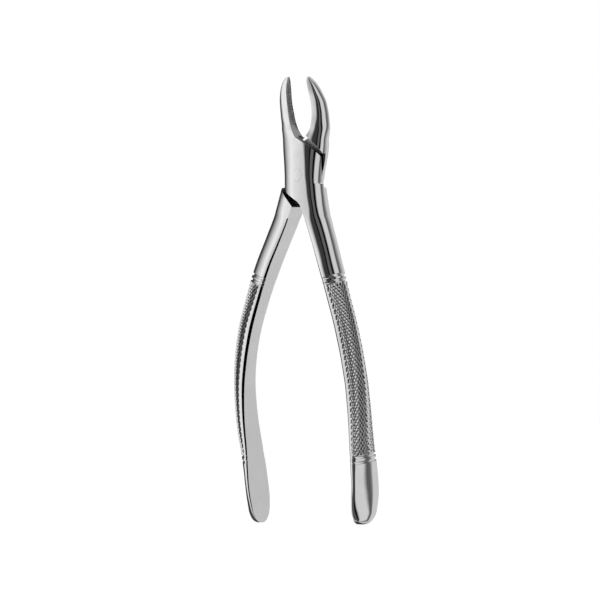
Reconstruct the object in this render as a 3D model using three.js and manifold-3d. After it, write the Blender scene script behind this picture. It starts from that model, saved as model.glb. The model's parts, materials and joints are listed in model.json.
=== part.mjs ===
// Extraction forceps: two forged halves crossing in a lap joint on one flush rivet.
// Millimetres, +Z up, beaks up. Shapes are drawn about the pivot, then the whole
// group is shifted so that its lowest point is at z = 0 and its box is centred.
import * as THREE from 'three';
import { mergeVertices } from 'three/addons/utils/BufferGeometryUtils.js';
import Module from 'manifold-3d';

const wasm = await Module();
wasm.setup();

// ---- driving dimensions -------------------------------------------------
const TIP_Z = 38.4;             // beak tips above the pivot
const END_Z = -136.4;           // handle ends below the pivot
const LAP_GAP = 0.3;            // play between the two lap plates
const RIVET_RADIUS = 2.4;
const RIVET_LENGTH = 9.9;
const BORE_RADIUS = 2.7;
const BEAK_FLOOR = 14.6;        // below this height the beak turns into the joint
const NECK_TOP = -17;           // below this height the joint has turned into the handle
const GROOVE_DEPTH = 0.55;
const TOP_GROOVES = [-41.4, -43.4];
const END_GROOVES = [-109.4, -111.6];
const GROOVE_HALF = 0.55;

// ---- profiles of the front half, [height, value] ------------------------
// The front half carries the left beak (-X) and the right handle (+X).
// Plane that parts the section into its left and right curves: the gripping
// face of the beak, the middle of the joint, the flat inner face of the handle,
// which is a true plane between the heights -118 and -108.
const PARTING = [
  [-136.4, 23.2], [-131, 23.6], [-118, 24.5], [-108, 24.5], [-95.9, 24.7], [-84.2, 24.2],
  [-72.4, 22.5], [-60.7, 19.8], [-48.9, 16.1], [-37.2, 12.0], [-27.8, 8.3], [-18.4, 4.4],
  [-13, 2.5], [-6, 0.4], [0, 0], [8, -0.6], [12, -1.3], [14.6, -2.3], [16.4, -3.5], [18.4, -4.5],
  [23, -5.5], [28, -5.7], [32.5, -5.3], [38.4, -4.4],
];
// Distance from that plane to the crown of the outer shell, along the section.
const HANDLE_DEPTH = [
  [-136.4, 1.8], [-135.8, 3.6], [-134.4, 5.1], [-131.5, 6.2], [-127, 6.3], [-119.4, 5.9],
  [-107.7, 6.0], [-95.9, 6.5], [-84.2, 7.0], [-72.4, 7.8], [-60.7, 8.1], [-48.9, 8.1],
  [-37.2, 8.25], [-27.8, 8.4], [-18.4, 8.9],
];
const BEAK_OUTER = [
  [14.9, 10.1], [16.4, 10.6], [18.4, 11.0], [23, 11.1], [28, 10.8], [32.5, 9.5],
  [35.5, 8.0], [37.3, 6.6], [38.1, 5.7], [38.4, 5.1],
];
const JOINT_HALF_WIDTH = [
  [-18, 7.4], [-11, 7.6], [-4.5, 7.9], [0, 8.3], [5, 9.0], [10, 9.7], [14.9, 10.2],
];
// Outer side of the joint where it runs into the handle: the lapping plate flows
// out smoothly, the far side starts at a step (the shoulder).
const FLOW_OUTER = [[-18.4, 13.3], [-15, 11.9], [-11, 10.1], [-8, 8.9], [-4.5, 7.9]];
const SHOULDER_OUTER = [[-18.4, 13.2], [-12, 11.4], [-6, 10.0], [-3, 9.5]];
// Half depth of the section in Y, at the outer shell and at the parting plane.
const HALF_DEPTH = [
  [-136.4, 1.4], [-135.7, 3.0], [-134.4, 4.4], [-132, 5.8], [-129, 6.5], [-125, 6.95],
  [-119.4, 6.8], [-113, 6.3], [-106, 5.7], [-95.9, 5.15], [-84.2, 4.6], [-72.4, 4.15],
  [-60.7, 4.0], [-48.9, 4.05], [-37.2, 4.3], [-27.8, 4.3], [-18.4, 4.4], [-8, 4.8], [0, 5],
  [8, 4.9], [14, 4.2], [18.4, 3.4], [23, 2.9], [28, 2.6], [32.5, 2.3], [36, 1.75],
  [37.6, 1.2], [38.4, 0.7],
];
const GRIP_HALF_DEPTH = [
  [14.6, 3.0], [16.4, 2.7], [18.4, 2.4], [23, 2.1], [28, 1.85], [32.5, 1.8], [36, 1.4],
  [37.6, 0.95], [38.4, 0.5],
];
// Middle of the section in Y: the side view is a shallow S.
const OFFSET = [
  [-136.4, 4.0], [-131, 4.1], [-125, 3.9], [-119.4, 3.3], [-107.7, 1.2], [-95.9, -0.9],
  [-84.2, -2.6], [-72.4, -3.8], [-60.7, -4.3], [-48.9, -4.1], [-37.2, -3.4], [-27.8, -2.3],
  [-18.4, -1.4], [-13, -1.1], [-8, -0.7], [0, 0.2], [8, 0.9], [14, 1.1], [18.4, 0.7], [23, 0],
  [28, -1.1], [32.5, -2.5], [38.4, -4.1],
];
const GRIP_OFFSET = [[14.6, -0.2], [16.4, -0.2], [23, -0.9], [28, -2.0], [32.5, -3.4], [38.4, -4.7]];
// Length of the plain side wall between the flat face and the shell.
const SIDE_WALL = [
  [-136.4, 0.3], [-125, 0.8], [-107.7, 1.1], [-95.9, 1.6], [-84.2, 2.3], [-60.7, 3.0],
  [-37.2, 3.2], [-18.4, 3.0], [0, 2.0], [14, 1.6], [23, 1.0], [38.4, 0.5],
];
// Lean of the handle sections, degrees: they stay square to the flat face.
const LEAN = [
  [-136.4, -3], [-119.4, -2], [-95.9, 2], [-84.2, 6], [-72.4, 11], [-60.7, 16], [-48.9, 19],
  [-37.2, 20.5], [-27.8, 20], [-18.4, 8], [-12, 0],
];
// Fullness of the rounded flanks: 2 is an ellipse, more is squarer.
const FULLNESS = [[-30, 2.2], [-15, 2.6], [12, 2.6], [20, 2.2]];
const GRIP_HOLLOW = [[16.4, 0], [20, 0.5], [32.5, 0.55], [37, 0.2], [38.4, 0]];

// ---- outlines in the opening plane, [x, z], front half ------------------
// Crotch edge of the plate beside the other half's beak.
const BEAK_EDGE = [
  [-2.4, 14.9], [0.4, 13.6], [3.2, 12.1], [5.2, 11.0], [6.9, 9.9], [8.0, 8.8], [8.6, 7.4],
  [8.6, 1.5],
];
// Crotch edge of the plate beside the other half's handle.
const HANDLE_EDGE = [
  [-12, -3.2], [-7.3, -5.0], [-4.6, -6.2], [-1.9, -7.6], [-0.3, -8.7], [0.8, -9.9],
  [1.6, -11.3], [2.6, -13.6], [4.0, -17.1],
];
// Shoulder lines that bound the recess for the other plate.
const BEAK_SHOULDER = [[-14, 1.5], [-9.7, 7.8], [-8.7, 9.7], [-7.1, 11.8], [-3.9, 14.9]];
const HANDLE_SHOULDER = [[13, -3.0], [8.6, -5.5], [5.8, -7.5], [4.0, -9.3], [2.4, -12.0]];

// ---- helpers -------------------------------------------------------------
// Monotone cubic through the given points, level beyond both ends.
function curve(points) {
  const n = points.length;
  const slope = [];
  for (let i = 0; i < n - 1; i++) {
    slope.push((points[i + 1][1] - points[i][1]) / (points[i + 1][0] - points[i][0]));
  }
  const tangent = points.map((_, i) => {
    if (i === 0) return slope[0];
    if (i === n - 1) return slope[n - 2];
    const a = slope[i - 1];
    const b = slope[i];
    return a * b <= 0 ? 0 : (2 * a * b) / (a + b);
  });
  return (z) => {
    if (z <= points[0][0]) return points[0][1];
    if (z >= points[n - 1][0]) return points[n - 1][1];
    let i = 0;
    while (z > points[i + 1][0]) i++;
    const h = points[i + 1][0] - points[i][0];
    const t = (z - points[i][0]) / h;
    const u = 1 - t;
    return u * u * (1 + 2 * t) * points[i][1] + t * t * (3 - 2 * t) * points[i + 1][1]
      + h * t * u * (u * tangent[i] - t * tangent[i + 1]);
  };
}

const parting = curve(PARTING);
const handleDepth = curve(HANDLE_DEPTH);
const beakOuter = curve(BEAK_OUTER);
const jointHalfWidth = curve(JOINT_HALF_WIDTH);
const flowOuter = curve(FLOW_OUTER);
const shoulderOuter = curve(SHOULDER_OUTER);
const halfDepth = curve(HALF_DEPTH);
const gripHalfDepth = curve(GRIP_HALF_DEPTH);
const offset = curve(OFFSET);
const gripOffset = curve(GRIP_OFFSET);
const sideWall = curve(SIDE_WALL);
const lean = curve(LEAN);
const fullness = curve(FULLNESS);
const gripHollow = curve(GRIP_HOLLOW);

function smoothStep(a, b, v) {
  const t = Math.min(1, Math.max(0, (v - a) / (b - a)));
  return t * t * (3 - 2 * t);
}

function grooveDepth(z) {
  const rings = [...TOP_GROOVES, ...END_GROOVES];
  const near = Math.min(...rings.map((ring) => Math.abs(z - ring)));
  return GROOVE_DEPTH * Math.max(0, 1 - near / GROOVE_HALF);
}

// One curve of a section: half of a superellipse with a short straight wall.
// side is +1 for the right curve and -1 for the left one.
function arc(side, wall, reach, half, middle, power, count) {
  const points = [];
  for (let i = 0; i < count; i++) {
    const angle = side * (-Math.PI / 2 + (Math.PI * i) / (count - 1));
    const c = Math.max(0, Math.cos(angle)) ** (2 / power);
    const s = Math.sign(Math.sin(angle)) * Math.abs(Math.sin(angle)) ** (2 / power);
    points.push([side * (wall + (reach - wall) * c), middle + half * s]);
  }
  return points;
}

// Section of the front half at height z; farSide is the side of the recess.
function section(z, farSide, count) {
  const mid = parting(z);
  const half = halfDepth(z);
  const y = offset(z);
  const wall = sideWall(z);
  const power = fullness(z);
  const groove = grooveDepth(z);
  let left;
  let right;
  if (z >= BEAK_FLOOR) {
    right = arc(1, 0, -gripHollow(z), gripHalfDepth(z), gripOffset(z), 2, count);
    left = arc(-1, wall, beakOuter(z) + mid, half, y, power, count);
  } else if (z <= NECK_TOP) {
    right = arc(1, wall, handleDepth(z) - groove, half - groove * 0.5, y, power, count);
    left = arc(-1, 0, 0, half - groove * 0.2, y, 2, count);
  } else {
    const leftReach = jointHalfWidth(z);
    left = arc(-1, wall, leftReach + mid, half, y, power, count);
    const near = z < -4.5 ? flowOuter(z) : jointHalfWidth(z);
    const far = z < -3 ? shoulderOuter(z) : near;
    right = arc(1, wall, near - mid, half, y, power, count).map(([x, py]) => {
      const blend = smoothStep(-0.4, 0.8, (py - y) * farSide);
      const grow = (far - near) * blend * smoothStep(wall, near - mid, x);
      return [x + grow, py];
    });
  }
  const tilt = THREE.MathUtils.degToRad(lean(z));
  const sway = (offset(z + 1) - offset(z - 1)) / 2 * smoothStep(-26, -44, z);
  return [...right, ...left].map(([x, py]) => {
    return [mid + x * Math.cos(tilt), py, z + x * Math.sin(tilt) - (py - y) * sway];
  });
}

function solidOf(geometry) {
  geometry.deleteAttribute('normal');
  geometry.deleteAttribute('uv');
  const merged = mergeVertices(geometry);
  const mesh = new wasm.Mesh({
    numProp: 3,
    vertProperties: new Float32Array(merged.attributes.position.array),
    triVerts: new Uint32Array(merged.index.array),
  });
  return new wasm.Manifold(mesh);
}

// Skin over stacked rings, closed with a fan at both ends.
function loft(rings) {
  const n = rings[0].length;
  const vertices = rings.flat();
  const triangles = [];
  for (let r = 0; r < rings.length - 1; r++) {
    for (let i = 0; i < n; i++) {
      const a = r * n + i;
      const b = r * n + ((i + 1) % n);
      triangles.push([a, b, b + n], [a, b + n, a + n]);
    }
  }
  for (const top of [false, true]) {
    const ring = top ? rings[rings.length - 1] : rings[0];
    const start = top ? (rings.length - 1) * n : 0;
    const middle = [0, 1, 2].map((k) => ring.reduce((sum, p) => sum + p[k], 0) / n);
    const hub = vertices.push(middle) - 1;
    for (let i = 0; i < n; i++) {
      const a = start + i;
      const b = start + ((i + 1) % n);
      triangles.push(top ? [hub, a, b] : [hub, b, a]);
    }
  }
  const geometry = new THREE.BufferGeometry();
  geometry.setAttribute('position', new THREE.Float32BufferAttribute(vertices.flat(), 3));
  geometry.setIndex(triangles.flat());
  return solidOf(geometry);
}

// Upright plate: an outline in the opening plane run from yFrom to yTo.
function plate(outline, yFrom, yTo) {
  const shape = new THREE.Shape(outline.map(([x, z]) => new THREE.Vector2(x, z)));
  const geometry = new THREE.ExtrudeGeometry(shape, { depth: yTo - yFrom, bevelEnabled: false });
  geometry.rotateX(Math.PI / 2);
  geometry.translate(0, yTo, 0);
  return solidOf(geometry);
}

function cylinderY(radius, length, segments) {
  return solidOf(new THREE.CylinderGeometry(radius, radius, length, segments));
}

function heights() {
  const list = [END_Z, -135.8, -134.8, -133.2, -131];
  for (let z = -128; z < NECK_TOP - 3; z += 3) list.push(z);
  for (const ring of [...TOP_GROOVES, ...END_GROOVES]) {
    list.push(ring - GROOVE_HALF, ring, ring + GROOVE_HALF);
  }
  list.push(NECK_TOP, -13.5, -10.5, -8, -6, -4.5, -3, 0, 3, 6, 9, 11, 12.6, BEAK_FLOOR);
  list.push(16.2, 18.2, 20.5, 23, 25.5, 28, 30, 32, 34, 35.6, 36.8, 37.6, 38.05, TIP_Z);
  list.sort((a, b) => a - b);
  return list.filter((z, i) => i === 0 || z - list[i - 1] > 0.3);
}

// farSide +1: the front half, recessed behind. -1: the rear half, recessed in front.
function forgedHalf(farSide) {
  const count = 13;
  let solid = loft(heights().map((z) => section(z, farSide, count)));
  const aboveBeakEdge = [...BEAK_EDGE, [30, 1.5], [30, 60], [0, 60], [0, 18], [-2.4, 15.6]];
  const belowHandleEdge = [...HANDLE_EDGE, [4.0, -19], [-30, -19], [-30, -3.2]];
  const recess = [
    ...BEAK_SHOULDER, [0, 20], [30, 20], [30, -3], ...HANDLE_SHOULDER, [-3, -25], [-30, -25], [-30, 1.5],
  ];
  solid = solid.subtract(plate(aboveBeakEdge, -20, 20));
  solid = solid.subtract(plate(belowHandleEdge, -20, 20));
  const lap = farSide * -LAP_GAP / 2;
  const reach = farSide > 0 ? [lap, 20] : [-20, lap];
  solid = solid.subtract(plate(recess, reach[0], reach[1]));
  solid = solid.subtract(cylinderY(BORE_RADIUS, 40, 32));
  return farSide > 0 ? solid : solid.mirror([1, 0, 0]);
}

function toMesh(solid, name, colour, roughness) {
  const data = solid.getMesh();
  const geometry = new THREE.BufferGeometry();
  geometry.setAttribute('position', new THREE.BufferAttribute(data.vertProperties, 3));
  geometry.setIndex(new THREE.BufferAttribute(data.triVerts, 1));
  geometry.computeVertexNormals();
  const material = new THREE.MeshStandardMaterial({ color: colour, metalness: 1, roughness });
  material.name = name;
  const mesh = new THREE.Mesh(geometry, material);
  mesh.name = name;
  return mesh;
}

const forceps = new THREE.Group();
forceps.name = 'extraction_forceps';
forceps.add(toMesh(forgedHalf(1), 'front_half', 0xc4c6c8, 0.2));
forceps.add(toMesh(forgedHalf(-1), 'rear_half', 0xbfc1c4, 0.2));
forceps.add(toMesh(cylinderY(RIVET_RADIUS, RIVET_LENGTH, 32), 'pivot_rivet', 0xcccdd0, 0.25));

const box = new THREE.Box3().setFromObject(forceps);
const centre = box.getCenter(new THREE.Vector3());
forceps.position.set(-centre.x, -centre.y, -box.min.z);
forceps.updateMatrixWorld(true);

export default forceps;
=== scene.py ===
"""Extraction forceps: two forged, knurled halves lapped on one flush rivet.

Each half is a skin over stacked rings in its own pivot-centred frame (millimetres), cut by
the crotch, shoulder and lap outlines, and then set in the shared frame (metres).
"""

import json
import math

import bpy
import numpy as np
from mathutils import Matrix, Vector


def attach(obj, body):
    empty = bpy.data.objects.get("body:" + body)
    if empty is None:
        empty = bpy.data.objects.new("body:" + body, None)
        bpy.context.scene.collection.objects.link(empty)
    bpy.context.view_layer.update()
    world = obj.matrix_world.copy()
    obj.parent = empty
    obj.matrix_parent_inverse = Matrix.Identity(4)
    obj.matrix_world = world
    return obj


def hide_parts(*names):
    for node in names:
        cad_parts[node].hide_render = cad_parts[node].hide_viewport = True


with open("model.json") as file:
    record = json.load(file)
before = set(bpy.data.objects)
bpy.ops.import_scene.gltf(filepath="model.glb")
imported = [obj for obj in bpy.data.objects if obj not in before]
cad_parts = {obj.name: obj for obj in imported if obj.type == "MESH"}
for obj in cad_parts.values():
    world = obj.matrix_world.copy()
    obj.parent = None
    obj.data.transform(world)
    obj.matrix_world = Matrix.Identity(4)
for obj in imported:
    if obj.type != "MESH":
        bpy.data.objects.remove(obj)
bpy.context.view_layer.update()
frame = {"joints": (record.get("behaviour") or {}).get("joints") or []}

MM = 0.001
PIVOT = np.array(frame["joints"][0]["pos_m"])

# ---------------------------------------------------------------- camera
VIEW_AZIMUTH = math.radians(35)
VIEW_DISTANCE = 3.0
FRAME_WIDTH = 0.2349        # metres across the picture at the object
SENSOR_WIDTH = 36.0
AIM_HEIGHT = 0.0876
AIM_ASIDE = -0.00168        # the picture's middle is this far to the side of the pivot

toward_camera = Vector((math.sin(VIEW_AZIMUTH), -math.cos(VIEW_AZIMUTH), 0))
to_the_right = Vector((math.cos(VIEW_AZIMUTH), math.sin(VIEW_AZIMUTH), 0))
aim = Vector((PIVOT[0], PIVOT[1], AIM_HEIGHT)) + to_the_right * AIM_ASIDE

camera_data = bpy.data.cameras.new("camera")
camera_data.sensor_width = SENSOR_WIDTH
camera_data.lens = SENSOR_WIDTH * VIEW_DISTANCE / FRAME_WIDTH
camera = bpy.data.objects.new("camera", camera_data)
camera.location = aim + toward_camera * VIEW_DISTANCE
camera.rotation_mode = "QUATERNION"
camera.rotation_quaternion = (-toward_camera).to_track_quat("-Z", "Y")
bpy.context.scene.collection.objects.link(camera)
bpy.context.scene.camera = camera

# ------------------------------------------- profiles of the front half
# (height, value) in millimetres, heights from the pivot. The front half carries the left beak
# (-X) and the right handle (+X). The rear half is its mirror image in X, with its recess and
# shoulder on its other side, and differs by CROWN_SHIFT, REAR_FULLER and REAR_WIDER too.
# PARTING is the X of the flat inner face and of the gripping face, and divides the joint
# between them. HANDLE_DEPTH is counted from it, and BEAK_OUTER, JOINT_HALF_WIDTH, PLATE_OUTER
# and SHOULDER_OUTER from the pivot. OFFSET and GRIP_OFFSET are the Y of the middle of the
# section and of the gripping face, and HALF_DEPTH and GRIP_HALF_DEPTH half their size in Y.
END_Z = -136.38
TIP_Z = 38.4
BEAK_FLOOR = 14.6
NECK_TOP = -17.0
PARTING = [
    (-136.4, 23.2), (-131, 23.6), (-118, 24.5), (-108, 24.5), (-95.9, 24.7), (-84.2, 24.2),
    (-72.4, 22.5), (-60.7, 19.8), (-48.9, 16.1), (-37.2, 12.0), (-27.8, 8.3), (-18.4, 4.4),
    (-13, 2.5), (-6, 0.4), (0, 0), (8, -0.6), (12, -1.3), (14.6, -2.3), (16.4, -3.5), (18.4, -4.5),
    (23, -5.5), (28, -5.7), (32.5, -5.3), (38.4, -4.4),
]
HANDLE_DEPTH = [
    (-136.4, 1.8), (-135.8, 3.4), (-134.4, 4.7), (-131.5, 5.6), (-127, 5.7), (-119.4, 5.5),
    (-107.7, 6.0), (-95.9, 6.4), (-84.2, 6.9), (-72.4, 7.5), (-60.7, 7.7), (-48.9, 7.6),
    (-37.2, 7.6), (-27.8, 7.65), (-18.4, 8.05),
]
BEAK_OUTER = [
    (14.6, 10.2), (16.4, 10.6), (18.4, 11.0), (23, 11.1), (28, 10.8), (32.5, 9.5),
    (35.5, 8.0), (37.3, 6.6), (38.1, 5.7), (38.4, 5.1),
]
JOINT_HALF_WIDTH = [
    (-18, 7.4), (-11, 7.6), (-4.5, 7.9), (0, 8.3), (5, 9.0), (10, 9.7), (14.9, 10.2),
]
PLATE_OUTER = [
    (-18.4, 12.45), (-17, 11.9), (-15, 11.2), (-11, 10.2), (-8, 9.5), (-4.5, 8.9), (0, 8.45),
    (5, 8.35), (14.6, 8.5),
]
SHOULDER_OUTER = [(-18.4, 12.45), (-17, 11.9), (-12, 10.85), (-6, 9.7), (-3, 9.25)]
HALF_DEPTH = [
    (-136.4, 1.4), (-135.7, 3.0), (-134.4, 4.4), (-132, 5.8), (-129, 6.5), (-125, 6.95),
    (-119.4, 6.8), (-113, 6.3), (-106, 5.7), (-95.9, 5.15), (-84.2, 4.6), (-72.4, 4.15),
    (-60.7, 4.0), (-48.9, 4.05), (-37.2, 4.3), (-27.8, 4.3), (-18.4, 4.4), (-8, 4.8), (0, 5),
    (8, 4.9), (14, 4.2), (18.4, 3.4), (23, 2.9), (28, 2.6), (32.5, 2.3), (36, 1.75),
    (37.6, 1.2), (38.4, 0.7),
]
GRIP_HALF_DEPTH = [
    (14.6, 3.0), (16.4, 2.7), (18.4, 2.4), (23, 2.1), (28, 1.85), (32.5, 1.8), (36, 1.4),
    (37.6, 0.95), (38.4, 0.5),
]
OFFSET = [
    (-136.4, 4.0), (-131, 4.1), (-125, 3.9), (-119.4, 3.3), (-107.7, 1.2), (-95.9, -0.9),
    (-84.2, -2.6), (-72.4, -3.8), (-60.7, -4.3), (-48.9, -4.1), (-37.2, -3.4), (-27.8, -2.3),
    (-18.4, -1.4), (-13, -1.1), (-8, -0.7), (0, 0.2), (8, 0.9), (14, 1.1), (18.4, 0.7), (23, 0),
    (28, -1.1), (32.5, -2.5), (38.4, -4.1),
]
GRIP_OFFSET = [
    (14.6, -0.2), (16.4, -0.2), (23, -0.8), (28, -1.85), (32.5, -3.05), (36, -3.85), (38.4, -4.3),
]
# Width of the straight part of the front and back, before the shell (SIDE_WALL) or the body
# (BODY_WALL) curves away.
SIDE_WALL = [
    (-136.4, 0.3), (-125, 0.8), (-107.7, 1.5), (-95.9, 2.1), (-84, 2.5), (-61, 2.8), (-50, 2.3),
    (-37.2, 1.6), (-27, 1.6), (-18.4, 2.0), (-13, 3.3), (-6, 4.0), (0, 3.3), (6, 3.0), (14, 2.5),
]
BODY_WALL = [(0, 2.0), (14, 1.6), (18, 1.8), (23, 2.2), (30, 2.2), (35.5, 1.8), (38.4, 0.5)]
# Degrees by which the handle's rings lean to stand square to it, fading out at the joint.
LEAN = [
    (-136.4, -3), (-119.4, -2), (-95.9, 2), (-84.2, 6), (-72.4, 11), (-60.7, 16), (-48.9, 19),
    (-37.2, 20.5), (-27.8, 20), (-18.4, 8), (-12, 0),
]
# Superellipse powers of the shell's front and back, and then of the body's front and back.
FULLNESS = [(-136, 1.3), (-112, 1.35), (-100, 1.8), (-20, 1.95), (-12, 2.1), (0, 2.0), (6, 1.9)]
BACK_FULLNESS = [(-134, 3.2), (-112, 3.4), (-95, 2.6), (-60, 2.6), (-15, 2.9), (0, 2.3), (14, 2.1)]
BODY_FULLNESS = [(-15, 2.6), (12, 2.6), (20, 1.8)]
BODY_BACK = [(-15, 2.6), (-2, 2.5), (5, 2.2), (12, 2.6), (20, 1.8)]
# The rear half's body is this much wider at the joint.
REAR_WIDER = [(-3, 0), (2, 0.25), (6, 0.5), (9, 0.4), (14, 0)]
# The crown of the beak's outer side lies this far behind the middle of the section.
BODY_SHIFT = [(14, 0), (20, 0.9), (32, 0.8), (38.4, 0.1)]
# The crown of the shell lies this far behind the middle of the section.
CROWN_SHIFT = [
    (-134, 0), (-128, 0.3), (-112, 0.5), (-95, 0.8), (-60, 1.0), (-40, 1.5), (-18, 1.5),
    (-12, 0.9), (-5, 0),
]
# The rear half keeps its crown in the middle and is this much fuller.
REAR_FULLER = [
    (-90, 0), (-80, 0.12), (-60, 0.55), (-40, 0.98), (-18, 0.98), (-12, 0.58), (-5, 0),
]
BOW = 0.0012                # share the faces fall away by, per squared millimetre from PARTING
# Depth of the hollow in the gripping face.
GRIP_HOLLOW = [(16.4, 0), (19, 0.5), (24, 0.85), (32.5, 0.75), (37, 0.3), (38.4, 0)]
# Width of the chamfer between the flat inner face and its side walls, and its slope.
CHAMFER = [
    (-136.4, 0.1), (-128, 0.4), (-110, 0.6), (-95, 0.85), (-80, 1.15), (-60, 1.25), (-45, 1.1),
    (-36, 0.85), (-28, 0.7), (-18, 0.55),
]
CHAMFER_ANGLE = math.radians(40)
CHAMFER_SHARE = 0.9         # a chamfer takes no more than this share of the wall it cuts
SHOULDER_TOP = -3           # below this height the far side takes the shoulder's width
SHOULDER_BLEND = (-4.5, 0.5)    # Y from the middle, far side positive, where it widens
GROOVE_ON_SHELL = 0.5       # share of a ring groove's depth that the shell's front and back lose
GROOVE_ON_FLAT = 0.2        # and the share lost beside the flat inner face
SWAY_BLEND = (-26, -44)     # heights where the rings begin to lean with the handle's bend in Y
SAMPLES = 40                # points worked out for each point kept on an arc

# ------------------------------ outlines in the opening plane, (x, z)
ASIDE = 30                  # past the side of the part
THROUGH = 20                # past its front and back
LAP_GAP = 0.3               # between the two lap faces
# The lap plate's edges towards the other half's beak and handle, each with the corners that
# close its cutter.
BEAK_EDGE = [
    (-2.4, 14.9), (0.4, 13.3), (3.2, 11.7), (5.2, 10.5), (6.9, 9.0), (8.0, 7.5), (8.6, 6.0),
    (8.6, 1.5),
]
ABOVE_PLATE = [(ASIDE, 1.5), (ASIDE, 15.2), (-2.4, 15.2)]
HANDLE_EDGE = [(-12, -3.2), (-6.8, -6.0), (-1.5, -9.2), (1.6, -11.3), (2.6, -13.6), (4.0, -17.1)]
BELOW_PLATE = [(4.0, -19), (-ASIDE, -19), (-ASIDE, -3.2)]
# The shoulders at both ends of the recess for the other half's plate, and its other corners.
BEAK_SHOULDER = [(-14, 1.5), (-9.9, 7.8), (-8.9, 9.9), (-7.0, 12.1), (-3.3, 14.9)]
PAST_BEAK = [(0, 20), (ASIDE, 20), (ASIDE, -3)]
HANDLE_SHOULDER = [(13, -3.0), (8.6, -5.3), (5.8, -8.2), (4.0, -10.2), (2.4, -12.0)]
PAST_HANDLE = [(-3, -25), (-ASIDE, -25), (-ASIDE, 1.5)]
# The space above the plate, beside the half's own beak.
CROTCH = [(-2.4, 14.9), (ASIDE, 14.9), (ASIDE, 60), (0, 60), (0, 18), (-2.4, 15.6)]
# Relief ground into the lap beside the plate's corner.
CORNER_RELIEF = [(-7.6, 1.8), (-14, 1.8), (-14, 8.4), (-7.6, 8.4)]
CORNER_RELIEF_DEPTH = 0.25
RELIEF_REACH = 0.5          # its cutter ends this far past the joint's middle plane
FACES_Y = 0.9               # a cutter's face whose normal has more Y than this is a broad one
RIVET_RADIUS = 2.4
BORE_RADIUS = 2.44
AROUND = 96                 # segments round the rivet and its bore
ACROSS = 12                 # rings of the rivet's ends
HALF_SHARP = math.radians(28)   # edges steeper than this stay sharp on the halves
RIVET_SHARP = math.radians(40)      # and on the rivet

# ------------------------------------------------------------- knurling
KNURL_DEPTH = 0.46
DIAMONDS_AROUND = 12
STEPS = 8                   # grid steps across one diamond
DIAMOND_LENGTH = 2.16
ROW = DIAMOND_LENGTH / STEPS
VALLEY = KNURL_DEPTH * 0.78     # deeper than this, the knurl is rougher and painted dark: painted shade in its valleys
KNURL_ROWS = 236
KNURL_END = -108.4
KNURL_TOP = KNURL_END + KNURL_ROWS * ROW
TOP_GROOVES = [-41.4, -43.3]
END_GROOVES = [-109.4, -111.4]
GROOVE_DEPTH = 0.8
GROOVE_HALF = 0.6

# Cross-cut serrations on the gripping faces.
TEETH_FROM, TEETH_TO = 18.5, 36.5
TOOTH = 1.15
TOOTH_DEPTH = 0.16
TEETH_ROW = 0.16
TOOTH_SLANT = 0.6
TEETH_EDGE = (1.0, 0.7)     # the teeth fade between these shares of the half width
TEETH_RISE, TEETH_FALL = 2, 1   # and over these lengths at their low and high ends

# Ring heights outside the knurl.
FOOT_ROWS = [END_Z, -136.2, -136.0, -135.8, -135.55, -135.2, -134.8, -134.4, -134.0, -133.5]
TIP_ROWS = [TIP_Z, 38.3, 38.15, 38.0, 37.8, 37.5, 37.2]
HANDLE_FROM, HANDLE_TO = -133, KNURL_END - 4
NECK_FROM = -40.5
HANDLE_ROW = 0.7
JOINT_ROW = 0.5
LEAST_ROW = 0.03            # rings closer than this to the one below are left out

# Material zones of a half, in the order of its materials.
POLISHED, KNURLED, SATIN, SERRATED, SHADED_VALLEYS = range(5)

SHELL_COLUMNS = DIAMONDS_AROUND * STEPS
WALL_COLUMNS = 4
CHAMFER_COLUMNS = 2
FLAT_COLUMNS = 24


def curve(points):
    """Monotone cubic through the given points, level beyond both ends."""
    z, v = np.array(points, float).T
    slope = np.diff(v) / np.diff(z)
    tangent = np.zeros(len(z))
    tangent[0], tangent[-1] = slope[0], slope[-1]
    for i in range(1, len(z) - 1):
        a, b = slope[i - 1], slope[i]
        tangent[i] = 0 if a * b <= 0 else 2 * a * b / (a + b)

    def value(at):
        if at <= z[0]:
            return v[0]
        if at >= z[-1]:
            return v[-1]
        i = int(np.searchsorted(z, at, side="right")) - 1
        h = z[i + 1] - z[i]
        t = (at - z[i]) / h
        u = 1 - t
        return (u * u * (1 + 2 * t) * v[i] + t * t * (3 - 2 * t) * v[i + 1]
                + h * t * u * (u * tangent[i] - t * tangent[i + 1]))

    return value


parting = curve(PARTING)
handle_depth = curve(HANDLE_DEPTH)
beak_outer = curve(BEAK_OUTER)
joint_half_width = curve(JOINT_HALF_WIDTH)
plate_outer = curve(PLATE_OUTER)
shoulder_outer = curve(SHOULDER_OUTER)
half_depth = curve(HALF_DEPTH)
grip_half_depth = curve(GRIP_HALF_DEPTH)
offset = curve(OFFSET)
grip_offset = curve(GRIP_OFFSET)
side_wall = curve(SIDE_WALL)
lean = curve(LEAN)
fullness = curve(FULLNESS)
back_fullness = curve(BACK_FULLNESS)
body_fullness = curve(BODY_FULLNESS)
crown_shift = curve(CROWN_SHIFT)
rear_fuller = curve(REAR_FULLER)
body_wall = curve(BODY_WALL)
body_back = curve(BODY_BACK)
rear_wider = curve(REAR_WIDER)
body_shift = curve(BODY_SHIFT)
grip_hollow = curve(GRIP_HOLLOW)
chamfer = curve(CHAMFER)


def smooth_step(a, b, v):
    t = np.clip((v - a) / (b - a), 0, 1)
    return t * t * (3 - 2 * t)


def even(points, count):
    """A polyline's points replaced by this many at equal distances along it."""
    length = np.r_[0, np.cumsum(np.hypot(*np.diff(points, axis=0).T))]
    at = np.linspace(0, length[-1], count)
    return np.c_[np.interp(at, length, points[:, 0]), np.interp(at, length, points[:, 1])]


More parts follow.
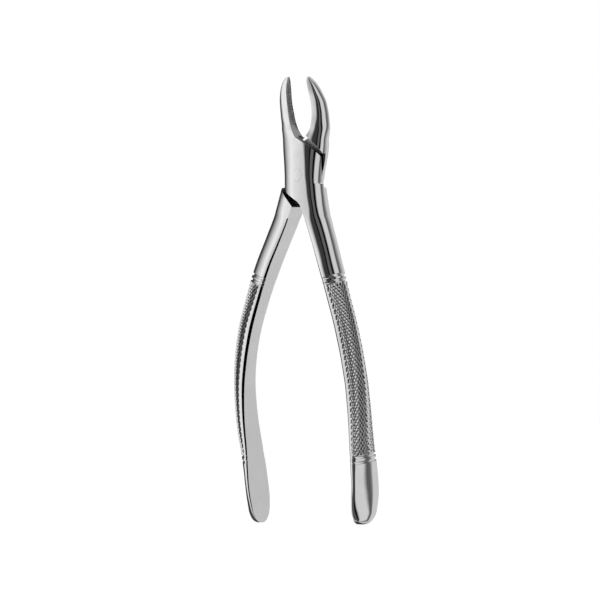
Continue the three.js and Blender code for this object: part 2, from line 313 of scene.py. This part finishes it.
def arc(side, wall, reach, half, middle, powers, shift, count):
    """Two superellipse quarters beside a straight wall, from low Y to high Y for side +1."""
    angle = np.linspace(-math.pi / 2, math.pi / 2, SAMPLES * count)
    power = np.where(angle < 0, powers[0], powers[1])
    across = np.clip(np.cos(angle), 0, None) ** (2 / power)
    along = np.abs(np.sin(angle)) ** (2 / power)
    x = wall + (reach - wall) * across
    y = np.where(angle < 0, shift - (half + shift) * along, shift + (half - shift) * along)
    y = middle + y * (1 - BOW * x * x)
    return even(np.c_[x, y][::side] * [side, 1], count)


def groove_depth(z):
    near = min(abs(z - ring) for ring in TOP_GROOVES + END_GROOVES)
    return GROOVE_DEPTH * math.sqrt(max(0, 1 - (near / GROOVE_HALF) ** 2))


def flat_side(wall, half, middle, width):
    """The left of a handle section: wall, chamfer, flat face, chamfer, wall."""
    run, rise = width * math.cos(CHAMFER_ANGLE), width * math.sin(CHAMFER_ANGLE)
    run = min(run, wall * CHAMFER_SHARE)
    top = np.c_[np.linspace(wall, run, WALL_COLUMNS + 1)[1:], np.full(WALL_COLUMNS, half)]
    share = np.linspace(0, 1, CHAMFER_COLUMNS + 1)[1:]
    bevel = np.c_[run * (1 - share), half - rise * share]
    flat = np.linspace(half - rise, rise - half, FLAT_COLUMNS + 1)[1:-1]
    face = np.c_[np.zeros(len(flat)), flat]
    upper = np.r_[top, bevel]
    lower = upper[::-1] * [1, -1]
    return np.r_[upper, face, lower] + [0, middle]


# Points on the left of a section, the same for a section of any size.
LEFT_COLUMNS = len(flat_side(2, 4, 0, 1))


def section(z, far_side):
    """One ring of a half, before the rear half is mirrored, with its PARTING and OFFSET."""
    mid, half, y = parting(z), half_depth(z), offset(z)
    wall, powers, shift = side_wall(z), (fullness(z), back_fullness(z)), crown_shift(z)
    fuller = 0
    if far_side < 0:
        fuller, shift = rear_fuller(z), 0
    body_powers = (body_fullness(z), body_back(z))
    groove = groove_depth(z)
    columns = SHELL_COLUMNS + 1
    if z >= BEAK_FLOOR:
        right = arc(1, 0, -grip_hollow(z), grip_half_depth(z), grip_offset(z), (2, 2), 0, columns)
        left = arc(-1, body_wall(z), beak_outer(z) + mid, half, y, body_powers, body_shift(z),
                   LEFT_COLUMNS)
    elif z <= NECK_TOP:
        depth = handle_depth(z) + fuller - groove
        right = arc(1, wall, depth, half - groove * GROOVE_ON_SHELL, y, powers, shift, columns)
        left = flat_side(wall, half - groove * GROOVE_ON_FLAT, y, chamfer(z))
    else:
        reach = joint_half_width(z) + mid + (rear_wider(z) if far_side < 0 else 0)
        left = arc(-1, body_wall(z), reach, half, y, body_powers, 0, LEFT_COLUMNS)
        near = plate_outer(z) + fuller
        far = shoulder_outer(z) + fuller if z < SHOULDER_TOP else near
        right = arc(1, wall, near - mid, half, y, powers, shift, columns)
        blend = smooth_step(*SHOULDER_BLEND, (right[:, 1] - y) * far_side)
        right[:, 0] += (far - near) * blend * smooth_step(wall, near - mid, right[:, 0])
    return np.r_[right, left], mid, y


def heights():
    """Ring heights: even steps, finer in the knurl, at the grooves and at both ends."""
    knurl = KNURL_END + ROW * np.arange(KNURL_ROWS + 1)
    grooves = [ring + GROOVE_HALF * k for ring in TOP_GROOVES + END_GROOVES
               for k in (-1, -0.94, -0.8, -0.55, -0.25, 0, 0.25, 0.55, 0.8, 0.94, 1)]
    plain = np.r_[np.arange(HANDLE_FROM, HANDLE_TO, HANDLE_ROW),
                  np.arange(NECK_FROM, NECK_TOP, HANDLE_ROW),
                  np.arange(NECK_TOP, TEETH_FROM, JOINT_ROW),
                  np.arange(TEETH_FROM, TEETH_TO, TEETH_ROW)]
    outside = [z for z in plain if not KNURL_END <= z <= KNURL_TOP]
    levels = sorted([*knurl, *grooves, *FOOT_ROWS, *TIP_ROWS, *outside])
    kept = [levels[0]]
    for z in levels[1:]:
        if z - kept[-1] > LEAST_ROW:
            kept.append(z)
    return kept


def in_knurl(z):
    return KNURL_END - ROW / 4 < z < KNURL_TOP + ROW / 4


def knurl_relief(row):
    """Depth below the crests of square-based pyramids in two staggered families."""
    u = np.arange(SHELL_COLUMNS + 1) / STEPS
    v = row / STEPS
    best = np.full(len(u), np.inf)
    for shift in (0, 0.5):
        du = np.abs(u - shift - np.round(u - shift))
        dv = abs(v - shift - round(v - shift))
        best = np.minimum(best, du + dv)
    return KNURL_DEPTH * best * 2


def tooth_relief(y, z):
    """Depth below the crests of two families of slanting serrations, none near the edges."""
    a = (y + TOOTH_SLANT * z) / TOOTH
    b = (y - TOOTH_SLANT * z) / TOOTH
    cut_a, cut_b = np.abs(a - np.round(a)), np.abs(b - np.round(b))
    across = (y - y.mean()) / (np.ptp(y) / 2)
    fade = smooth_step(*TEETH_EDGE, np.abs(across))
    fade = fade * smooth_step(TEETH_FROM, TEETH_FROM + TEETH_RISE, z)
    return TOOTH_DEPTH * (1 - cut_a - cut_b) * fade * smooth_step(TEETH_TO, TEETH_TO - TEETH_FALL, z)


def forged_skin(far_side):
    """Vertices, triangles and zone numbers of one half before it is cut."""
    levels = heights()
    rings = []
    for z in levels:
        flat, mid, y = section(z, far_side)
        if in_knurl(z):
            relief = knurl_relief(round((z - KNURL_END) / ROW))
            shell = flat[:SHELL_COLUMNS + 1]
            along = np.gradient(shell, axis=0)
            normal = np.c_[along[:, 1], -along[:, 0]]
            normal /= np.linalg.norm(normal, axis=1)[:, None]
            flat[:SHELL_COLUMNS + 1] = shell - normal * relief[:, None]
        if TEETH_FROM < z < TEETH_TO:
            flat[:SHELL_COLUMNS + 1, 0] -= tooth_relief(flat[:SHELL_COLUMNS + 1, 1], z)
        tilt = math.radians(lean(z))
        sway = (offset(z + 1) - offset(z - 1)) / 2 * smooth_step(*SWAY_BLEND, z)
        x, py = flat[:, 0], flat[:, 1]
        rings.append(np.c_[mid + x * math.cos(tilt), py, z + x * math.sin(tilt) - (py - y) * sway])
    n = len(rings[0])
    vertices = np.concatenate(rings)
    triangles, zones = [], []
    edge_columns = WALL_COLUMNS + CHAMFER_COLUMNS
    valley = [knurl_relief(row) > VALLEY for row in range(STEPS)]
    for r in range(len(rings) - 1):
        knurled = in_knurl(levels[r]) and in_knurl(levels[r + 1])
        row = round((levels[r] - KNURL_END) / ROW)
        handle = levels[r + 1] <= NECK_TOP
        beak = levels[r] >= BEAK_FLOOR
        for i in range(n):
            a, b = r * n + i, r * n + (i + 1) % n
            on_shell = i < SHELL_COLUMNS
            if on_shell and knurled and slants(i, row):
                triangles += [(a, b, a + n), (b, b + n, a + n)]
            else:
                triangles += [(a, b, b + n), (a, b + n, a + n)]
            zone = POLISHED
            if on_shell and knurled:
                here, above = valley[row % STEPS], valley[(row + 1) % STEPS]
                corners = int(here[i]) + here[i + 1] + above[i] + above[i + 1]
                # a face with three or more corners deep in a valley takes the dark painted-shade
                # material
                zone = SHADED_VALLEYS if corners >= 3 else KNURLED
            elif on_shell and beak:
                zone = SERRATED
            elif handle and SHELL_COLUMNS + edge_columns < i < n - edge_columns:
                zone = SATIN
            zones += [zone, zone]
    for top in (False, True):
        start = (len(rings) - 1) * n if top else 0
        vertices = np.r_[vertices, vertices[start:start + n].mean(0)[None]]
        hub = len(vertices) - 1
        for i in range(n):
            a, b = start + i, start + (i + 1) % n
            triangles.append((hub, a, b) if top else (hub, b, a))
            zones.append(POLISHED)
    return vertices, triangles, zones


def slants(i, row):
    """True where a valley of the knurl runs down to the right across this grid square."""
    half = STEPS // 2
    return ((i // half) + (row // half)) % 2 == 0


def make_object(name, vertices, triangles, zones=None, materials=()):
    mesh = bpy.data.meshes.new(name)
    mesh.from_pydata([tuple(v) for v in vertices], [], [tuple(t) for t in triangles])
    for material in materials:
        mesh.materials.append(material)
    if zones is not None:
        mesh.polygons.foreach_set("material_index", np.array(zones, np.int32))
    mesh.update()
    obj = bpy.data.objects.new(name, mesh)
    bpy.context.scene.collection.objects.link(obj)
    return obj


def plate(name, outline, low, high, face_material, side_material):
    """Upright plate: an outline in the opening plane run from low to high in Y."""
    area = sum(x * outline[(i + 1) % len(outline)][1] - outline[(i + 1) % len(outline)][0] * z
               for i, (x, z) in enumerate(outline))
    loop = list(outline) if area > 0 else list(outline)[::-1]
    n = len(loop)
    vertices = [(x, low, z) for x, z in loop] + [(x, high, z) for x, z in loop]
    faces = [tuple(range(n)), tuple(range(2 * n - 1, n - 1, -1))]
    faces += [(i, i + n, (i + 1) % n + n, (i + 1) % n) for i in range(n)]
    mesh = bpy.data.meshes.new(name)
    mesh.from_pydata(vertices, [], faces)
    mesh.materials.append(face_material)
    mesh.materials.append(side_material)
    for polygon in mesh.polygons:
        polygon.material_index = 0 if abs(polygon.normal.y) > FACES_Y else 1
    obj = bpy.data.objects.new(name, mesh)
    bpy.context.scene.collection.objects.link(obj)
    return obj


def rounded(outline, passes=3):
    """The same outline with its inner corners cut into a smooth line (ends kept)."""
    points = np.array(outline, float)
    for _ in range(passes):
        quarter = points[:-1] * 0.75 + points[1:] * 0.25
        three = points[:-1] * 0.25 + points[1:] * 0.75
        middle = np.stack([quarter, three], 1).reshape(-1, 2)[1:-1]
        points = np.r_[points[:1], middle, points[-1:]]
    return [tuple(p) for p in points]


def cylinder_y(name, radius, segments, material):
    turns = [2 * math.pi * k / segments for k in range(segments)]
    ring = [(radius * math.cos(turn), radius * math.sin(turn)) for turn in turns]
    return plate(name, ring, -THROUGH, THROUGH, material, material)


def cut(obj, cutter):
    modifier = obj.modifiers.new("cut", "BOOLEAN")
    modifier.operation = "DIFFERENCE"
    modifier.solver = "MANIFOLD"
    modifier.object = cutter
    modifier.material_mode = "TRANSFER"
    bpy.context.view_layer.update()
    graph = bpy.context.evaluated_depsgraph_get()
    shaped = bpy.data.meshes.new_from_object(obj.evaluated_get(graph))
    obj.modifiers.clear()
    obj.data = shaped
    bpy.data.objects.remove(cutter)


# ------------------------------------------------------------ materials
CLOUD_GRAIN = 160           # patches per metre in the slow unevenness of the steel
NOISE_LOW, NOISE_HIGH = 0.3, 0.7    # noise stays mostly within these values
BOTH_LOW, BOTH_HIGH = 0.1, 0.4      # and the product of two noises within these


def steel(name, tone, roughness, grain, spread, relief, mottle=0.04):
    """Stainless steel whose fine marks come from stretched noise.

    tone is the mean reflectance, grain the marks per metre along X, Y and Z, spread how far
    the roughness varies, relief the height of the marks in metres, mottle the share by which
    the reflectance varies.
    """
    material = bpy.data.materials.new(name)
    material.use_nodes = True
    nodes, links = material.node_tree.nodes, material.node_tree.links
    shader = nodes["Principled BSDF"]
    shader.inputs["Metallic"].default_value = 1
    place = nodes.new("ShaderNodeTexCoord")
    stretch = nodes.new("ShaderNodeMapping")
    stretch.inputs["Scale"].default_value = grain
    marks = nodes.new("ShaderNodeTexNoise")
    marks.inputs["Scale"].default_value = 1
    marks.inputs["Detail"].default_value = 4
    cloud = nodes.new("ShaderNodeTexNoise")
    cloud.inputs["Scale"].default_value = CLOUD_GRAIN
    cloud.inputs["Detail"].default_value = 3
    links.new(place.outputs["Object"], stretch.inputs["Vector"])
    links.new(stretch.outputs["Vector"], marks.inputs["Vector"])
    links.new(place.outputs["Object"], cloud.inputs["Vector"])
    rough = nodes.new("ShaderNodeMapRange")
    rough.inputs["From Min"].default_value = NOISE_LOW
    rough.inputs["From Max"].default_value = NOISE_HIGH
    rough.inputs["To Min"].default_value = roughness - spread
    rough.inputs["To Max"].default_value = roughness + spread
    links.new(marks.outputs["Fac"], rough.inputs["Value"])
    links.new(rough.outputs["Result"], shader.inputs["Roughness"])
    both = nodes.new("ShaderNodeMath")
    both.operation = "MULTIPLY"
    links.new(marks.outputs["Fac"], both.inputs[0])
    links.new(cloud.outputs["Fac"], both.inputs[1])
    tint = nodes.new("ShaderNodeMapRange")
    tint.inputs["From Min"].default_value = BOTH_LOW
    tint.inputs["From Max"].default_value = BOTH_HIGH
    tint.inputs["To Min"].default_value = tone * (1 - mottle)
    tint.inputs["To Max"].default_value = tone * (1 + mottle)
    links.new(both.outputs["Value"], tint.inputs["Value"])
    colour = nodes.new("ShaderNodeCombineColor")
    for channel in ("Red", "Green", "Blue"):
        links.new(tint.outputs["Result"], colour.inputs[channel])
    links.new(colour.outputs["Color"], shader.inputs["Base Color"])
    bump = nodes.new("ShaderNodeBump")
    bump.inputs["Strength"].default_value = 1
    bump.inputs["Distance"].default_value = relief
    links.new(marks.outputs["Fac"], bump.inputs["Height"])
    links.new(bump.outputs["Normal"], shader.inputs["Normal"])
    return material


ALONG = (2600, 2600, 70)    # polishing lines that run down the forging
polished = steel("polished_steel", 0.74, 0.075, ALONG, 0.03, 3e-7)
knurled = steel("knurled_steel", 0.72, 0.14, (1500, 1500, 1500), 0.05, 2e-6)
# The knurl's valleys get a dark tone: painted shade standing for the crests' shadow in them.
valley_shade_steel = steel("knurl_valley_painted_shade", 0.22, 0.34, (2600, 2600, 2600), 0.08, 4e-6, 0.3)
satin = steel("satin_steel", 0.78, 0.31, (2200, 2200, 900), 0.05, 2e-6, 0.03)
serrated = steel("serrated_steel", 0.32, 0.26, (1800, 1800, 1800), 0.08, 2e-6, 0.15)
lap_steel = steel("lap_steel", 0.66, 0.42, (2000, 2000, 2000), 0.05, 2e-6)
# Near-black steel for the recess's shoulder walls and the corner relief: painted shade where the lap
# gap lies in shadow.
shoulder_shade_steel = steel("shoulder_shade_steel", 0.05, 0.35, (1500, 1500, 1500), 0.1, 4e-6, 0.3)
# Dark steel for the plate's edge towards the other beak: painted shade where that edge face lies in
# shadow.
edge_shade_steel = steel("edge_shade_steel", 0.14, 0.3, (1500, 1500, 1500), 0.1, 2e-6, 0.2)
rivet_steel = steel("rivet_steel", 0.73, 0.085, ALONG, 0.03, 3e-7)


# ------------------------------------------------------------ the halves
def forged_half(name, far_side, body, node):
    vertices, triangles, zones = forged_skin(far_side)
    steels = (polished, knurled, satin, serrated, valley_shade_steel)
    obj = make_object(name, vertices, triangles, zones, steels)
    above_plate = rounded(BEAK_EDGE) + ABOVE_PLATE
    below_plate = rounded(HANDLE_EDGE) + BELOW_PLATE
    cut(obj, plate("cut_crotch", CROTCH, -THROUGH, THROUGH, lap_steel, lap_steel))
    # the plate's edge towards the other beak gets the dark painted shade
    cut(obj, plate("cut_beak", above_plate, -THROUGH, THROUGH, edge_shade_steel, edge_shade_steel))
    cut(obj, plate("cut_handle", below_plate, -THROUGH, THROUGH, satin, satin))
    recess = rounded(BEAK_SHOULDER) + PAST_BEAK + rounded(HANDLE_SHOULDER) + PAST_HANDLE
    lap = -far_side * LAP_GAP / 2
    low, high = (lap, THROUGH) if far_side > 0 else (-THROUGH, lap)
    # the recess's shoulder walls get the near-black painted shade
    cut(obj, plate("cut_recess", recess, low, high, lap_steel, shoulder_shade_steel))
    deep = lap - far_side * CORNER_RELIEF_DEPTH
    low, high = (deep, RELIEF_REACH) if far_side > 0 else (-RELIEF_REACH, deep)
    # the corner relief is painted near black all over: painted shade in the gap beside the plate
    cut(obj, plate("cut_relief", CORNER_RELIEF, low, high, shoulder_shade_steel, shoulder_shade_steel))
    cut(obj, cylinder_y("cut_bore", BORE_RADIUS, AROUND, lap_steel))
    place = Matrix.Translation(Vector(PIVOT)) @ Matrix.Diagonal((MM, MM, MM, 1))
    if far_side < 0:
        place = place @ Matrix.Diagonal((-1, 1, 1, 1))
    obj.data.transform(place)
    if far_side < 0:
        obj.data.flip_normals()
    obj.data.shade_smooth()
    obj.data.set_sharp_from_angle(angle=HALF_SHARP)
    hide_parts(node)
    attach(obj, body)


forged_half("front_half_steel", 1, "front_forging", "front_half")
forged_half("rear_half_steel", -1, "rear_forging", "rear_half")


# ------------------------------------------------------------- the rivet
def plate_face(x, z, side):
    """Y of the front (side -1) or back (+1) face of the joint."""
    mid = parting(z) if side < 0 else -parting(z)
    from_mid = x - mid
    if (from_mid < 0) == (side < 0):
        wall, reach, power = body_wall(z), joint_half_width(z), body_fullness(z)
    else:
        wall, reach, power = side_wall(z), plate_outer(z), fullness(z)
    t = max(0.0, (abs(from_mid) - wall) / (reach - abs(mid) - wall))
    bulge = half_depth(z) * (1 - t ** power) ** (1 / power)
    return offset(z) + side * bulge * (1 - BOW * from_mid * from_mid)


def rivet():
    """A pin whose two ends are ground flush with the plates around it."""
    vertices, triangles = [], []
    hubs, starts = {}, {}
    for side in (-1, 1):
        hubs[side] = len(vertices)
        vertices.append((0, plate_face(0, 0, side), 0))
        for k in range(1, ACROSS + 1):
            starts[side, k] = len(vertices)
            r = RIVET_RADIUS * k / ACROSS
            for i in range(AROUND):
                angle = 2 * math.pi * i / AROUND
                x, z = r * math.cos(angle), r * math.sin(angle)
                vertices.append((x, plate_face(x, z, side), z))
    for side, hub in hubs.items():
        for i in range(AROUND):
            j = (i + 1) % AROUND
            first = starts[side, 1]
            # read backwards on the back end, so that every face looks outwards
            triangles.append((hub, first + i, first + j)[::-side])
            for k in range(1, ACROSS):
                a, b = starts[side, k] + i, starts[side, k] + j
                c, d = starts[side, k + 1] + i, starts[side, k + 1] + j
                triangles += [(a, c, d)[::-side], (a, d, b)[::-side]]
    for i in range(AROUND):
        j = (i + 1) % AROUND
        a, b = starts[-1, ACROSS] + i, starts[-1, ACROSS] + j
        c, d = starts[1, ACROSS] + i, starts[1, ACROSS] + j
        triangles += [(a, c, d), (a, d, b)]
    obj = make_object("rivet_flush", vertices, triangles, None, (rivet_steel,))
    obj.data.transform(Matrix.Translation(Vector(PIVOT)) @ Matrix.Diagonal((MM, MM, MM, 1)))
    obj.data.shade_smooth()
    obj.data.set_sharp_from_angle(angle=RIVET_SHARP)
    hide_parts("pivot_rivet")
    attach(obj, "front_forging")


rivet()

# ---------------------------------------------------------------- studio
# Plain soft panels round a dim room: first and last degree, counted from the camera's side and
# positive to the right, and light level. The light fades evenly from one panel to the next.
PANELS = [
    (-180, -130, 0.06),     # back of the room
    (-80, -74, 1.1),        # key light
    (-52, -27, 0.05),       # dark flag
    (-25, -19, 0),          # its black edge
    (-16, -1, 0.15),        # grey card beside the camera
    (2, 13, 0),             # black flag
    (21, 50, 0.8),          # fill light
    (60, 70, 0.13),         # grey flag
    (112, 150, 0.75),       # side wall
    (178, 180, 0.06),       # back of the room
]


def studio():
    scene = bpy.context.scene
    scene.view_settings.view_transform = "Standard"
    world = bpy.data.worlds.new("studio")
    scene.world = world
    world.use_nodes = True
    tree = world.node_tree
    nodes, links = tree.nodes, tree.links
    nodes.clear()
    out = nodes.new("ShaderNodeOutputWorld")
    room = nodes.new("ShaderNodeBackground")
    white = nodes.new("ShaderNodeBackground")
    white.inputs["Color"].default_value = (1, 1, 1, 1)
    path = nodes.new("ShaderNodeLightPath")
    mix = nodes.new("ShaderNodeMixShader")
    coordinates = nodes.new("ShaderNodeTexCoord")
    turn = nodes.new("ShaderNodeVectorRotate")
    turn.rotation_type = "Z_AXIS"
    # turned so that the direction towards the camera is +X
    turn.inputs["Angle"].default_value = -math.atan2(toward_camera.y, toward_camera.x)
    split = nodes.new("ShaderNodeSeparateXYZ")
    azimuth = nodes.new("ShaderNodeMath")
    azimuth.operation = "ARCTAN2"
    scale = nodes.new("ShaderNodeMapRange")
    scale.inputs["From Min"].default_value = -math.pi
    scale.inputs["From Max"].default_value = math.pi
    ramp = nodes.new("ShaderNodeValToRGB")
    links.new(coordinates.outputs["Generated"], turn.inputs["Vector"])
    links.new(turn.outputs["Vector"], split.inputs["Vector"])
    links.new(split.outputs["Y"], azimuth.inputs[0])
    links.new(split.outputs["X"], azimuth.inputs[1])
    links.new(azimuth.outputs["Value"], scale.inputs["Value"])
    links.new(scale.outputs["Result"], ramp.inputs["Fac"])
    links.new(ramp.outputs["Color"], room.inputs["Color"])
    links.new(path.outputs["Is Camera Ray"], mix.inputs["Fac"])
    links.new(room.outputs["Background"], mix.inputs[1])
    links.new(white.outputs["Background"], mix.inputs[2])
    links.new(mix.outputs["Shader"], out.inputs["Surface"])
    stops = [(at, level) for first, last, level in PANELS for at in (first, last)]
    elements = ramp.color_ramp.elements
    while len(elements) > 1:
        elements.remove(elements[-1])
    for k, (degrees, level) in enumerate(stops):
        at = (degrees + 180) / 360
        element = elements[0] if k == 0 else elements.new(at)
        element.position = at
        element.color = (level, level, level, 1)


studio()

# ----------------------------------------------------------------- floor
FLOOR_SIZE = 4.0
FLOOR_GLOW = 0.68
FLOOR_TONE = 0.9
FLOOR_ROUGHNESS = 0.9
floor_material = bpy.data.materials.new("floor")
floor_material.use_nodes = True
floor_shader = floor_material.node_tree.nodes["Principled BSDF"]
floor_shader.inputs["Base Color"].default_value = (FLOOR_TONE, FLOOR_TONE, FLOOR_TONE, 1)
floor_shader.inputs["Roughness"].default_value = FLOOR_ROUGHNESS
floor_shader.inputs["Emission Color"].default_value = (1, 1, 1, 1)
floor_shader.inputs["Emission Strength"].default_value = FLOOR_GLOW
half_floor = FLOOR_SIZE / 2
floor = make_object("floor", [(-half_floor, -half_floor, 0), (half_floor, -half_floor, 0),
                              (half_floor, half_floor, 0), (-half_floor, half_floor, 0)],
                    [(0, 1, 2), (0, 2, 3)], None, (floor_material,))
floor.visible_glossy = False
